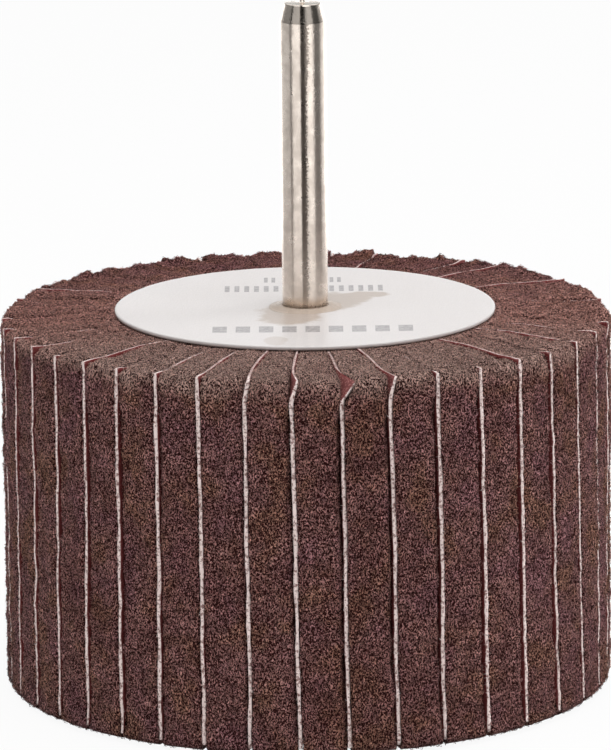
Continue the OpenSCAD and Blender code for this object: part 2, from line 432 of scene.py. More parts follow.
def fleece_fibres(shell, n, surface, out, path, props):
    """Lays loose fibres over the open faces of a pad."""
    random = np.random.default_rng(1000 + n)
    r, out_z = path[:, 0], path[:, 3]
    steps = np.linalg.norm(np.diff(surface[:, surface.shape[1] // 2], axis=0), axis=-1)
    width = np.linalg.norm(surface[:, -1] - surface[:, 0], axis=-1)
    open_part = (r > DISC_R + 0.5) * np.where(out_z < -0.5, 0.45, 1.0)
    open_part = open_part * np.where(out_z > 0.5, 1.25, 1.0)
    weight = steps * (width * open_part)[:-1] * (open_part[1:] > 0)
    total = props.fibres
    row = random.choice(len(weight), total, p=weight / weight.sum())
    part, across = random.random(total), random.random(total) * 1.04 - 0.02
    place = np.clip(across, 0, 1) * (surface.shape[1] - 1)
    column = np.minimum(place.astype(int), surface.shape[1] - 2)
    share = (place - column)[:, None]
    near = surface[row, column] * (1 - share) + surface[row, column + 1] * share
    far = surface[row + 1, column] * (1 - share) + surface[row + 1, column + 1] * share
    start = near * (1 - part)[:, None] + far * part[:, None]
    normal = unit(out[row, column])
    down = far - near
    down = unit(down - normal * (down * normal).sum(axis=-1, keepdims=True))
    side = np.cross(normal, down)
    upright = random.random(total) < 0.55
    turn = np.where(upright, random.normal(0, 0.75, total), random.random(total) * np.pi)
    along = down * np.cos(turn)[:, None] + side * np.sin(turn)[:, None]
    length = props.fibre_length / MM * (0.45 + 1.0 * random.random(total))
    height = 0.04 + 0.16 * random.random(total)
    stray = random.random(total) < 0.03
    along = unit(np.where(stray[:, None], along + normal * 0.5, along))
    height = np.where(stray, height + 0.2, height)
    normal = unit(normal - along * (along * normal).sum(axis=-1, keepdims=True))
    bend = (random.random(total) - 0.5) * 0.6 * length
    radius = props.fibre_radius / MM * (0.6 + 0.7 * random.random(total))
    tone = 0.32 + 0.6 * random.random(total) ** 1.8
    bright = random.random(total) < 0.09
    tone = np.where(bright, 1.2, tone)
    radius = np.where(bright, radius * 1.15, radius)
    # Painted shade makes a dark crease along the flap that follows the pad, widest on the upper face at the
    # sides; on the upper face a painted highlight makes a pale ridge along the other flap
    on_top = out_z[row] > 0.5
    wider = beside(n) * on_top
    tone = tone * (1 - 0.75 * smooth_step(across, 0.92 - 0.14 * wider, 0.98))
    ridge = (1 - smooth_step(across, 0.03 + 0.08 * wider, 0.1 + 0.14 * wider)) * on_top
    tone = tone + (0.35 + 0.15 * wider) * ridge
    start[:, 2] = np.maximum(start[:, 2], 0.5)
    bend_fibres(shell, start, along, normal, length, height, bend, radius, tone)


def fleece_pad(n, props, material):
    """One pad: its rough body, closed at both sides, and its fibres."""
    surface, out, rough, path = fleece_shape(n, props)
    rows, columns = surface.shape[:2]
    shell = Shell()
    body = surface.reshape(-1, 3)
    faces = grid_faces(rows, columns, close_rows=True)
    middles = np.array([surface[:, side].mean(axis=0) for side in (0, -1)])
    loop = np.arange(rows) * columns
    after = np.roll(loop, -1)
    first = np.stack([np.full(rows, rows * columns), after, loop], axis=-1)
    last = np.stack([np.full(rows, rows * columns + 1), loop + columns - 1, after + columns - 1], axis=-1)
    wider = beside(n)
    # Painted shade darkens a band of the upper face along the flap that follows the pad
    crease = (0.2 + 0.1 * wider) * smooth_step(np.linspace(0, 1, columns), 0.85 - 0.15 * wider, 1)
    shade = 0.10 + 0.25 * rough - crease * (path[:, 3] > 0.5)[:, None]
    tone = np.concatenate([shade.reshape(-1), [0, 0]])
    shell.add(np.concatenate([body, middles]), [faces, first, last], np.clip(tone, 0, 0.25))
    fleece_fibres(shell, n, surface, out, path, props)
    return shell.make(f"fleece_{n:02d}", [material])


# Cloth flaps

def flap_rows():
    """Heights of a flap's rows, closer at its upper end where corners fold."""
    fine = np.arange(0, 5.2, 0.4)
    return np.concatenate([PACK_HIGH - fine, np.arange(PACK_HIGH - 6, PACK_LOW, -0.8), [PACK_LOW]])


def flap_columns():
    """Radii of a flap's columns, closer at the rim."""
    return np.array([CLOTH_ROOT_R, 18, DISC_R, 30, 34, 36, 37.2, 38.2, 39, WHEEL_R - 0.3, WHEEL_R])


def cloth_points(n, r, z, offset):
    """Points of a flap's face at an offset from its middle, folded and swayed."""
    along, aside, slope, corner = fold_bend(n, r, z)
    seed = 300 + wrap(n)
    where = np.stack([r, z, np.full_like(z, wrap(n) * 3.1)], axis=-1)
    fray = 0.10 * noise(where, 0.9, seed) + 0.12 * noise(where, 3.1, seed + 1)
    at_rim = smooth_step(r, WHEEL_R - 0.6, WHEEL_R)
    open_top = smooth_step(z, PACK_HIGH - 0.7, PACK_HIGH) * smooth_step(r, DISC_R - 1, DISC_R + 0.2)
    shown = edge_shown(n)
    hidden_here = (1 - shown) * (1 - smooth_step(r, WHEEL_R - 3.0, WHEEL_R - 0.8) * 0.75)
    rise = open_top * (0.10 * shown - 0.75 * hidden_here + 0.12 * noise(where, 1.3, seed + 2))
    offset = offset * (1 - 0.3 * open_top) * (1 + 0.35 * noise(where, 1.6, seed + 4))
    shift = along - offset * np.sin(slope)
    low = smooth_step(-z, -PACK_LOW - 0.7, -PACK_LOW)
    new_r = r + shift * corner[0] + at_rim * (fray - 0.22)
    new_z = z - top_drop(r, z) + shift * corner[1] + rise + low * (0.9 + 0.1 * noise(where, 1.3, seed + 3))
    return placed(FLAPS[wrap(n) - 1], new_r, sway(n, r, z) + aside + offset * np.cos(slope), new_z)


def cloth_flap(n, props, materials):
    """One flap: two gritty faces, a pale cut edge all round and loose threads along the rim."""
    half = props.thickness / MM / 2
    heights, reaches = flap_rows(), flap_columns()
    rows, columns = len(heights), len(reaches)
    z, r = (grid.reshape(-1) for grid in np.meshgrid(heights, reaches, indexing="ij"))
    left = cloth_points(n, r, z, -half).reshape(rows, columns, 3)
    right = cloth_points(n, r, z, half).reshape(rows, columns, 3)
    bulge = cloth_points(n, np.full(rows, WHEEL_R + 0.08), heights, 0.0)[:, None]
    around = np.concatenate([left, bulge, right[:, ::-1]], axis=1)
    count = around.shape[1]
    shell = Shell()
    index = np.arange(rows * count).reshape(rows, count)
    faces = grid_faces(rows, count, close_columns=True)
    kind = np.tile(np.where(np.isin(np.arange(count), [columns - 1, columns]), 1, 0), rows - 1)
    reach = np.concatenate([reaches, [WHEEL_R], reaches[::-1]])
    slope = fold_bend(n, r, z)[2].reshape(rows, columns)
    folded = np.concatenate([slope, slope[:, -1:], slope[:, ::-1]], axis=1) > 0
    # The tone is low on faces that lie between the pads and along the upper end away from the rim, where
    # the materials darken them with painted shade; folded corners and the rim keep their own colour
    tone = np.where(folded | (np.arange(count) == columns)[None, :], 0.5, 0.08)
    tone[:, [columns - 1, columns + 1]] = 0.5
    tone[0] = -0.06 + 0.48 * smooth_step(reach, WHEEL_R - 3.0, WHEEL_R - 0.5)
    shell.add(around.reshape(-1, 3), [faces], tone.reshape(-1), kind)
    # The upper and lower end are closed by quads between the faces and a triangle at the rim
    for row, turn in ((index[0], 1), (index[-1], -1)):
        near, far = row[:columns], row[:columns:-1]
        quads = np.stack([near[1:], far[1:], far[:-1], near[:-1]], axis=-1)
        tip = np.array([[row[columns], far[-1], near[-1]]])
        for ladder in (quads, tip):
            shell.faces.append(ladder[:, ::turn])
            shell.slots.append(np.ones(len(ladder)))
    cloth_threads(shell, n, half, props.threads)
    return shell.make(f"cloth_flap_{n:02d}", materials)


def cloth_threads(shell, n, half, total):
    """Lays loose thread ends along a flap's rim edge."""
    random = np.random.default_rng(5000 + n)
    height = PACK_LOW + 1.4 + random.random(total) * (PACK_HIGH - PACK_LOW - 1.4)
    start = cloth_points(n, np.full(total, WHEEL_R), height, 0.0)
    direction = FLAPS[n - 1]
    outward = np.array([math.sin(direction), -math.cos(direction), 0])
    aside = np.array([math.cos(direction), math.sin(direction), 0])
    offset = (random.random(total) - 0.5) * 2 * half
    start = start + aside * offset[:, None]
    turn = (random.random(total) - 0.5) * 2.4
    along = aside * np.cos(turn)[:, None] + np.array([0, 0, 1.0]) * np.sin(turn)[:, None]
    along = unit(along + outward * (random.random(total) * 0.8)[:, None])
    normal = unit(outward - along * (along @ outward)[:, None])
    length = 0.35 + 0.55 * random.random(total)
    bend_fibres(shell, start, along, normal, length, 0.05 + 0.1 * random.random(total),
                (random.random(total) - 0.5) * 0.3, 0.03 + 0.035 * random.random(total),
                0.4 + 0.6 * random.random(total), 1)


# Discs, glue and shank

def turned_piece(name, profile, segments, material, warp=None, hollow=False):
    """A closed piece turned round the wheel's axis from a profile of radius and height."""
    profile = np.array(profile, float)
    turns = np.arange(segments) * 2 * np.pi / segments
    body = profile if hollow else profile[1:-1]
    points = ring_points(body[:, 0, None], body[:, 1, None], turns)
    if warp:
        points = warp(points)
    faces = [grid_faces(len(body), segments, close_rows=hollow, close_columns=True)[:, ::-1]]
    points = points.reshape(-1, 3)
    if not hollow:
        last = len(body) * segments
        ring = np.arange(segments)
        after = np.roll(ring, -1)
        foot = np.stack([np.full(segments, last), after, ring], axis=-1)
        top = (len(body) - 1) * segments
        tip = np.stack([np.full(segments, last + 1), ring + top, after + top], axis=-1)
        faces += [foot, tip]
        tips = np.array([[0, 0, profile[0, 1]], [0, 0, profile[-1, 1]]])
        points = np.concatenate([points, tips])
    shell = Shell()
    shell.add(points, faces, 0.5)
    return shell.make(name, [material])


def disc_profile(low, high):
    """Section of a fibre disc, from its hole round its rim, with slightly rounded edges."""
    hole = float(radii("upper_disc").min())
    soft = 0.1
    reaches = np.linspace(hole + soft, DISC_R - 0.4, 18)
    under = [(r, low) for r in reaches]
    rim = [(DISC_R - soft, low), (DISC_R, low + soft), (DISC_R, high - soft), (DISC_R - soft, high)]
    over = [(r, high) for r in reaches[::-1]]
    bore = [(hole, high - soft), (hole, low + soft)]
    return under + rim + over + bore


def disc_warp(seed, lift):
    """Slight waves of a stamped disc's rim, up to a lift in height."""
    def warp(points):
        r = np.hypot(points[..., 0], points[..., 1])
        out = smooth_step(r, 12, DISC_R)
        wave = noise(points * np.array([1, 1, 0]), 14.0, seed)
        fine = noise(points * np.array([1, 1, 0]), 4.5, seed + 1)
        moved = points.copy()
        moved[..., 2] += lift * out * (0.5 + 0.5 * wave)
        moved[..., :2] *= (1 + out * (0.0035 * wave + 0.0022 * fine - 0.002))[..., None]
        return moved
    return warp


def shank_profile():
    """Section of the shank: CAD's own heights and radii, with its edges broken."""
    reaches, heights = radii("shank"), node_points("shank")[:, 2]
    wall = heights[reaches > SHANK_R - 0.02]
    low, shoulder = wall.min(), wall.max()
    pip = reaches[heights > SHANK_HIGH - 0.05].max() * 2
    tip = heights[reaches > pip * 1.3].max()
    tip_r = reaches[heights > tip - 0.02].max()
    grip = reaches[heights < low - 0.5].max()
    groove = 0.35
    profile = [(0, SHANK_LOW), (grip - 0.4, SHANK_LOW), (grip, SHANK_LOW + 0.4)]
    for middle in np.linspace(SHANK_LOW, low, 7)[1:-1]:
        profile += [(grip, middle - 0.9), (grip - groove, middle - 0.9 + groove),
                    (grip - groove, middle + 0.9 - groove), (grip, middle + 0.9)]
    profile += [(grip, low - 0.01), (SHANK_R, low)]
    profile += [(SHANK_R, z) for z in np.linspace(low, shoulder - 0.1, 24)[1:]]
    profile += [(SHANK_R, shoulder - 0.03), (SHANK_R - 0.015, shoulder + 0.04)]
    profile += [(SHANK_R - 0.04, shoulder + 0.12)]
    profile += [(tip_r + 0.05, tip - 0.2), (tip_r + 0.01, tip - 0.06), (tip_r - 0.03, tip - 0.01)]
    profile += [(tip_r - 0.1, tip), (tip_r * 0.6, tip + 0.01)]
    profile += [(pip / 2 + 0.25, tip + 0.03), (pip / 2, tip + 0.1), (pip / 2, tip + 0.35)]
    profile += [(pip / 2 - 0.15, SHANK_HIGH - 0.08), (pip / 4, SHANK_HIGH), (0, SHANK_HIGH)]
    return profile


def glue_skin(material):
    """Thin irregular skin of resin that ran out of the disc's hole, with its foot on the disc."""
    top = corners("upper_disc")[1][2]
    segments, rings = 100, 12
    turns = np.arange(segments) * 2 * np.pi / segments
    direction = ring_points(1.0, 0.0, turns)
    reach = 4.75 + 0.25 * np.maximum(noise(direction, 0.8, 61), 0)
    reach = reach + 0.15 * np.maximum(noise(direction, 0.3, 62), 0)
    share = np.linspace(0, 1, rings)
    r = SHANK_R + 0.01 + (reach[None] - SHANK_R) * share[:, None]
    flat = ring_points(r, 0.0, turns)
    high = 0.3 * np.clip((4.55 - r) / 1.15, 0, 1)
    high = high + 0.02 * (1 - share[:, None]) * (1 + 0.5 * noise(flat, 1.6, 63))
    over = flat + np.array([0, 0, 1]) * (top + 0.004 + high)[..., None]
    under = flat[::-1] + np.array([0, 0, top - 0.01])
    loop = np.concatenate([over, under])
    shell = Shell()
    shell.add(loop.reshape(-1, 3), [grid_faces(len(loop), segments, True, True)], 0.5)
    return shell.make("glue_skin", [material])


# Nodes

def add(tree, kind, inputs=None, **settings):
    """A node with its settings, and each input set to a value or joined to a socket."""
    made = tree.nodes.new(kind)
    for name, value in settings.items():
        setattr(made, name, value)
    for name, value in (inputs or {}).items():
        if isinstance(value, bpy.types.NodeSocket):
            tree.links.new(value, made.inputs[name])
        else:
            made.inputs[name].default_value = value
    return made


def maths(tree, operation, first, second=0.0, third=0.0, clamp=False):
    """Result of a Math node."""
    made = add(tree, "ShaderNodeMath", {0: first, 1: second, 2: third}, operation=operation,
               use_clamp=clamp)
    return made.outputs[0]


def times(tree, first, second, clamp=False):
    """Product of two values."""
    return maths(tree, "MULTIPLY", first, second, clamp=clamp)


def most(tree, *values):
    """Largest of several values."""
    largest = values[0]
    for value in values[1:]:
        largest = maths(tree, "MAXIMUM", largest, value)
    return largest


def fit(tree, value, low, high, to_low=0.0, to_high=1.0):
    """A value brought from one range to another, smoothly and held inside it."""
    inputs = {"Value": value, "From Min": low, "From Max": high, "To Min": to_low, "To Max": to_high}
    return add(tree, "ShaderNodeMapRange", inputs, interpolation_type="SMOOTHSTEP").outputs[0]


def colour(value):
    """A colour property with full alpha."""
    return tuple(value)[:3] + (1.0,)


def mix(tree, factor, first, second, blend="MIX"):
    """Colour between two colours, each a socket or a property."""
    first, second = (side if isinstance(side, bpy.types.NodeSocket) else colour(side)
                     for side in (first, second))
    made = add(tree, "ShaderNodeMix", {0: factor, 6: first, 7: second}, data_type="RGBA", blend_type=blend)
    return made.outputs[2]


def speckle(tree, place, scale, detail=2.0, rough=0.5, warp=0.0):
    """Value of a noise texture."""
    made = add(tree, "ShaderNodeTexNoise", {"Vector": place, "Scale": scale, "Detail": detail,
                                            "Roughness": rough, "Distortion": warp})
    return made.outputs[0]


def shifted(tree, place, by=(0, 0, 0), scale=(1, 1, 1)):
    """Coordinates moved by a vector and then scaled."""
    moved = add(tree, "ShaderNodeVectorMath", {0: place, 1: by}, operation="ADD").outputs[0]
    return add(tree, "ShaderNodeVectorMath", {0: moved, 1: scale}, operation="MULTIPLY").outputs[0]


def split(tree, place):
    """X, Y and Z of coordinates."""
    return tuple(add(tree, "ShaderNodeSeparateXYZ", {0: place}).outputs)


def length_of(tree, vector):
    """Length of a vector."""
    return add(tree, "ShaderNodeVectorMath", {0: vector}, operation="LENGTH").outputs["Value"]


def tone_of(tree):
    """The mesh's own point attribute called tone."""
    return add(tree, "ShaderNodeAttribute", attribute_name="tone").outputs["Fac"]


def new_group(name, numbers, outputs):
    """An empty node group, its inputs (a vector and named numbers) and its outputs."""
    group = bpy.data.node_groups.new(name, "ShaderNodeTree")
    group.interface.new_socket(name="Vector", in_out="INPUT", socket_type="NodeSocketVector")
    for label, default in numbers.items():
        socket = group.interface.new_socket(name=label, in_out="INPUT", socket_type="NodeSocketFloat")
        socket.default_value = default
    for label in outputs:
        group.interface.new_socket(name=label, in_out="OUTPUT", socket_type="NodeSocketFloat")
    return group, add(group, "NodeGroupInput").outputs, add(group, "NodeGroupOutput").inputs


def fibre_web(name):
    """Group: thin curled lines that cross each other, as a mask."""
    group, start, end = new_group(name, {"Scale": 1000.0, "Width": 0.03}, ["Lines"])
    lines = []
    for by in ((0, 0, 0), (0.13, 0.41, 0.29)):
        value = speckle(group, shifted(group, start["Vector"], by), start["Scale"], 1.5, 0.6, 0.4)
        ridge = maths(group, "ABSOLUTE", maths(group, "SUBTRACT", value, 0.5))
        ridge = maths(group, "DIVIDE", ridge, start["Width"], clamp=True)
        lines.append(maths(group, "SUBTRACT", 1.0, ridge))
    group.links.new(most(group, *lines), end["Lines"])
    return group


def mottle(name):
    """Group: soft patches round a middle value of 0.5."""
    group, start, end = new_group(name, {"Scale": 100.0, "Contrast": 1.0}, ["Shade"])
    value = speckle(group, start["Vector"], start["Scale"], 3.0, 0.6)
    centred = maths(group, "SUBTRACT", value, 0.5)
    shade = maths(group, "MULTIPLY_ADD", centred, start["Contrast"], 0.5, clamp=True)
    group.links.new(shade, end["Shade"])
    return group


def grit(name):
    """Group: fine grains, as a mask and a height."""
    group, start, end = new_group(name, {"Scale": 4000.0}, ["Grains", "Height"])
    cells = add(group, "ShaderNodeTexVoronoi", {"Vector": start["Vector"], "Scale": start["Scale"]})
    grains = fit(group, cells.outputs["Distance"], 0.15, 0.5, 1.0, 0.0)
    fine = speckle(group, start["Vector"], start["Scale"], 2.0)
    group.links.new(grains, end["Grains"])
    group.links.new(times(group, grains, fine), end["Height"])
    return group


def use(tree, name, build, output, place, **numbers):
    """Output of a shared node group, built at its first use and placed with its own values."""
    group = bpy.data.node_groups.get(name) or build(name)
    return add(tree, "ShaderNodeGroup", {"Vector": place, **numbers}, node_tree=group).outputs[output]


def web(tree, place, scale, width):
    """Mask of thin crossing lines."""
    return use(tree, "Fibre Web", fibre_web, "Lines", place, Scale=scale, Width=width)


def patches(tree, place, scale, contrast):
    """Soft patches round 0.5."""
    return use(tree, "Mottle", mottle, "Shade", place, Scale=scale, Contrast=contrast)


def new_material(name):
    """A material with its Principled shader and object coordinates."""
    material = bpy.data.materials.new(name)
    material.use_nodes = True
    tree = material.node_tree
    place = add(tree, "ShaderNodeTexCoord").outputs["Object"]
    return material, tree, tree.nodes["Principled BSDF"], place


def dress(tree, shader, base, rough, specular, height, depth):
    """Joins a material's colour, roughness and relief, and sets its specular level."""
    tree.links.new(base, shader.inputs["Base Color"])
    tree.links.new(rough, shader.inputs["Roughness"])
    shader.inputs["Specular IOR Level"].default_value = specular
    relief = add(tree, "ShaderNodeBump", {"Height": height, "Distance": depth, "Strength": 1.0})
    tree.links.new(relief.outputs[0], shader.inputs["Normal"])


# Materials

def fleece_material(props):
    """Dark red-brown nylon fibres with dusty pink ones among them."""
    material, tree, shader, place = new_material("Fleece fibres")
    y, z = split(tree, place)[1:]
    upright = shifted(tree, place, (0, 0, 0), (1.0, 1.0, 0.7))
    fine = web(tree, shifted(tree, upright, (0.7, 0.2, 0.5)), 3800.0, 0.09)
    shade = patches(tree, upright, 5600.0, 4.8)
    patch = patches(tree, place, 75.0, 2.0)
    hue = patches(tree, shifted(tree, place, (0.3, 0.1, 0.6)), 160.0, 2.6)
    lines = most(tree, web(tree, upright, 2300.0, 0.06), times(tree, fine, 0.8))
    # Painted shade: the lines fade and the value drops in the pits of the mottle between the fibres
    lines = times(tree, lines, fit(tree, shade, 0.25, 0.75, 0.35, 1.0))
    value = maths(tree, "MULTIPLY_ADD", lines, 0.62, tone_of(tree))
    value = maths(tree, "ADD", value, fit(tree, shade, 0.1, 0.9, -0.62, 0.34), clamp=True)
    # Painted light makes the upper face paler all over
    flat = fit(tree, z, (PACK_HIGH - 1.2) * MM, PACK_HIGH * MM)
    value = maths(tree, "MULTIPLY_ADD", flat, 0.09, value)
    ramp = add(tree, "ShaderNodeValToRGB", {"Fac": value})
    stops = ramp.color_ramp.elements
    # The lowest stop is painted shade down in the pits
    stops[0].position = 0.16
    stops[0].color = colour(props.painted_shade_colour)
    stops[1].position = 0.9
    stops[1].color = colour(props.light_colour)
    stops.new(0.5).color = colour(props.fibre_colour)
    # Darker, browner and more purple patches
    tinted = mix(tree, fit(tree, patch, 0.35, 0.75, 0.0, 0.3), ramp.outputs[0], props.patch_and_shade_colour,
                 "MULTIPLY")
    tinted = mix(tree, fit(tree, hue, 0.5, 0.9, 0.0, 0.8), tinted, props.tan_colour, "MULTIPLY")
    tinted = mix(tree, fit(tree, hue, 0.5, 0.1, 0.0, 0.8), tinted, props.violet_colour, "MULTIPLY")
    # Worn and dusty fibres of the upper face and its rim, most of all at the front, where painted sheen
    # pales them; painted shade darkens the back of the upper face
    soft = maths(tree, "MULTIPLY_ADD", hue, 2.4 * MM, z)
    upper = fit(tree, soft, (PACK_HIGH - 2.2) * MM, (PACK_HIGH + 0.6) * MM)
    front = fit(tree, y, 0.034, -0.008)
    # Painted shade darkens the back of the upper face
    back = times(tree, upper, maths(tree, "SUBTRACT", 1.0, front))
    tinted = mix(tree, times(tree, back, 0.6), tinted, props.patch_and_shade_colour, "MULTIPLY")
    open_fibres = times(tree, upper, fit(tree, value, 0.2, 0.56))
    # Painted sheen pales the worn and dusty fibres at the front
    tinted = mix(tree, times(tree, open_fibres, front), tinted, props.worn_and_sheen_colour)
    dust_and_sheen = times(tree, open_fibres, fit(tree, y, 0.0, -0.032, 0.0, 0.9))
    tinted = mix(tree, dust_and_sheen, tinted, props.dust_and_sheen_colour)
    # Painted shadow darkens the fleece towards its lower face on the floor
    foot = fit(tree, z, (PACK_LOW + 1.2) * MM, PACK_LOW * MM, 0.0, 0.7)
    tinted = mix(tree, foot, tinted, props.painted_shade_colour)
    dress(tree, shader, tinted, fit(tree, shade, 0.2, 0.8, 0.75, 0.95), 0.12, lines, 0.22 * MM)
    shader.inputs["Sheen Weight"].default_value = 0.04
    shader.inputs["Sheen Roughness"].default_value = 0.5
    shader.inputs["Sheen Tint"].default_value = (1.0, 0.8, 0.68, 1.0)
    return material


def cloth_materials(props):
    """The gritty face of the abrasive cloth and its pale cut edge."""
    face, tree, shader, place = new_material("Abrasive face")
    grains = use(tree, "Grit", grit, "Grains", place, Scale=3600.0)
    height = use(tree, "Grit", grit, "Height", place, Scale=3600.0)
    shade = patches(tree, place, 260.0, 1.5)
    base = mix(tree, grains, props.face_colour, props.grain_colour)
    base = mix(tree, fit(tree, shade, 0.3, 0.8, 0.0, 0.35), base, props.face_patch, "MULTIPLY")
    # Painted shade darkens the face where its tone is low
    base = mix(tree, fit(tree, tone_of(tree), 0.1, 0.45, 0.75, 0.0), base, props.painted_shade_colour)
    dress(tree, shader, base, fit(tree, grains, 0.0, 1.0, 0.85, 0.6), 0.3, height, 0.12 * MM)
    edge, tree, shader, place = new_material("Cut cloth edge")
    threads = speckle(tree, place, 2600.0, 3.0, 0.6)
    loose = web(tree, place, 2600.0, 0.08)
    value = maths(tree, "ADD", fit(tree, threads, 0.38, 0.54), times(tree, loose, 0.3), clamp=True)
    # Painted shade dims the cut edge where its tone is low: at the lower end and at the upper end away from
    # the rim
    value = times(tree, value, maths(tree, "ADD", tone_of(tree), 0.5), clamp=True)
    base = mix(tree, value, props.edge_dark, props.edge_colour)
    dress(tree, shader, base, fit(tree, threads, 0.3, 0.7, 0.8, 0.95), 0.2, threads, 0.1 * MM)
    return [face, edge]


def print_row(tree, place, middle, height, first, last, pitch, inked):
    """Mask of a row of plain upright bars between two places across the disc."""
    x, y, _ = split(tree, place)
    offset = maths(tree, "ABSOLUTE", maths(tree, "SUBTRACT", y, middle))
    share = maths(tree, "FRACT", maths(tree, "DIVIDE", maths(tree, "SUBTRACT", x, first), pitch))
    mask = times(tree, maths(tree, "LESS_THAN", offset, height / 2), maths(tree, "LESS_THAN", share, inked))
    between = times(tree, maths(tree, "GREATER_THAN", x, first), maths(tree, "LESS_THAN", x, last))
    return times(tree, mask, between)


def spot(tree, place, wander, x, y, wide, deep, strength):
    """Mask of a soft irregular spot on the disc."""
    reach = length_of(tree, shifted(tree, place, (-x, -y, 0), (1 / wide, 1 / deep, 1)))
    return times(tree, fit(tree, maths(tree, "ADD", reach, wander), 0.8, 1.15, 1.0, 0.0), strength)


def disc_material(props):
    """Pale fibre board with faint grain, grey print bars and a tan stain round the hole."""
    material, tree, shader, place = new_material("Fibre disc")
    x, y, z = split(tree, place)
    low, high = (corner[2] * MM for corner in corners("upper_disc"))
    upper = maths(tree, "GREATER_THAN", z, low)
    shade = patches(tree, place, 160.0, 1.0)
    grain = web(tree, place, 900.0, 0.05)
    base = mix(tree, fit(tree, shade, 0.3, 0.7, 0.0, 0.5), props.board_colour, props.board_shade)
    base = mix(tree, times(tree, grain, 0.12), base, props.board_shade)
    wear = speckle(tree, place, 1500.0, 3.0, 0.7)
    ink = times(tree, most(tree, *(print_row(tree, place, *row) for row in PRINT_ROWS)), upper)
    ink = times(tree, ink, fit(tree, wear, 0.35, 0.7, 0.75, 0.45))
    base = mix(tree, ink, base, props.ink_colour)
    wander = maths(tree, "MULTIPLY_ADD", speckle(tree, place, 330.0, 3.0, 0.6), 0.9, -0.45)
    stain = times(tree, most(tree, *(spot(tree, place, wander, *row) for row in STAINS)), upper)
    base = mix(tree, times(tree, stain, 0.85), base, props.stain_colour)
    # The cut rim is tinted slightly at the top and darkened strongly lower down: painted shadow at the foot
    # of the upper disc's rim, and the lower disc's rim darkened all over
    around = add(tree, "ShaderNodeCombineXYZ", {0: x, 1: y}).outputs[0]
    wall = fit(tree, length_of(tree, around), (DISC_R - 0.25) * MM, (DISC_R - 0.1) * MM, 0.0, 0.9)
    depth = maths(tree, "SUBTRACT", high, z)
    wall = times(tree, wall, fit(tree, depth, 0.24 * MM, 0.42 * MM, 0.12, 1.0))
    base = mix(tree, wall, base, props.edge_colour)
    rough = maths(tree, "SUBTRACT", fit(tree, shade, 0.2, 0.8, 0.18, 0.26), times(tree, stain, 0.04))
    dress(tree, shader, base, rough, 0.2, maths(tree, "ADD", grain, wear), 0.01 * MM)
    return material


def resin_material(props):
    """Cast resin, tan and slightly cloudy, with a smooth skin."""
    material, tree, shader, place = new_material("Cast resin")
    shade = patches(tree, place, 300.0, 1.6)
    base = mix(tree, shade, props.resin_colour, props.resin_dark)
    dress(tree, shader, base, fit(tree, shade, 0.2, 0.8, 0.22, 0.34), 0.25, shade, 0.1 * MM)
    return material


def painted_reflection_strip(tree, place):
    """Mask of the ragged strip at the front of the shank where a dark reflection is painted."""
    x, y, z = split(tree, place)
    front = fit(tree, y, -0.0012, -0.0024)
    ragged = maths(tree, "MULTIPLY_ADD", speckle(tree, place, 3000.0, 2.0, 0.7), 0.0016, -0.0008)
    reach = fit(tree, z, 0.078, 0.084, 0.0004, 0.00072)
    reach = times(tree, reach, maths(tree, "LESS_THAN", z, SHOULDER * MM))
    beyond = maths(tree, "SUBTRACT", maths(tree, "ADD", x, ragged), reach)
    strip = times(tree, fit(tree, beyond, 0.00012, -0.00008), fit(tree, x, -0.0004, -0.00025))
    return times(tree, times(tree, strip, front), fit(tree, z, 0.05, 0.062, 0.5, 1.0))


def steel_material(props):
    """Nickel-plated turned steel, slightly warm, pitted, with fine marks that smear light along it."""
    material, tree, shader, place = new_material("Nickel steel")
    taper = maths(tree, "GREATER_THAN", split(tree, place)[2], SHOULDER * MM)
    drawn = speckle(tree, shifted(tree, place, (0, 0, 0), (1.0, 1.0, 0.12)), 3800.0, 3.0, 0.6)
    shade = patches(tree, place, 520.0, 1.6)
    pits = use(tree, "Grit", grit, "Height", place, Scale=2400.0)
    base = mix(tree, fit(tree, shade, 0.3, 0.75), props.steel_colour, props.steel_shade)
    # A dark reflection is painted down a ragged strip at the front
    base = mix(tree, times(tree, painted_reflection_strip(tree, place), 0.7), base, props.reflection_strip_colour)
    smoother = maths(tree, "MULTIPLY_ADD", taper, -0.5, 1.0)
    rough = times(tree, fit(tree, shade, 0.2, 0.8, 0.26, 0.34), smoother)
    dress(tree, shader, base, rough, 0.5, maths(tree, "ADD", drawn, pits), 0.01 * MM)
    shader.inputs["Metallic"].default_value = 1.0
    tree.links.new(maths(tree, "MULTIPLY_ADD", taper, -0.8, 0.92), shader.inputs["Anisotropic"])
    shader.inputs["Anisotropic Rotation"].default_value = 0.25
    tangent = add(tree, "ShaderNodeTangent", direction_type="RADIAL", axis="Z")
    tree.links.new(tangent.outputs[0], shader.inputs["Tangent"])
    return material


# Settings

def length_property(name, description, default):
    """A length that the sidebar shows in the scene's unit."""
    return FloatProperty(name=name, description=description, default=default, min=0.0, unit="LENGTH",
                         precision=5)


def power_property(name, description, default):
    """The power of a lamp, in watts."""
    return FloatProperty(name=name, description=description, default=default, min=0.0, unit="POWER")


def colour_property(name, description, default):
    """A colour that the sidebar shows as a swatch."""
    return FloatVectorProperty(name=name, description=description, default=default, size=3, min=0.0,
                               max=1.0, subtype="COLOR")


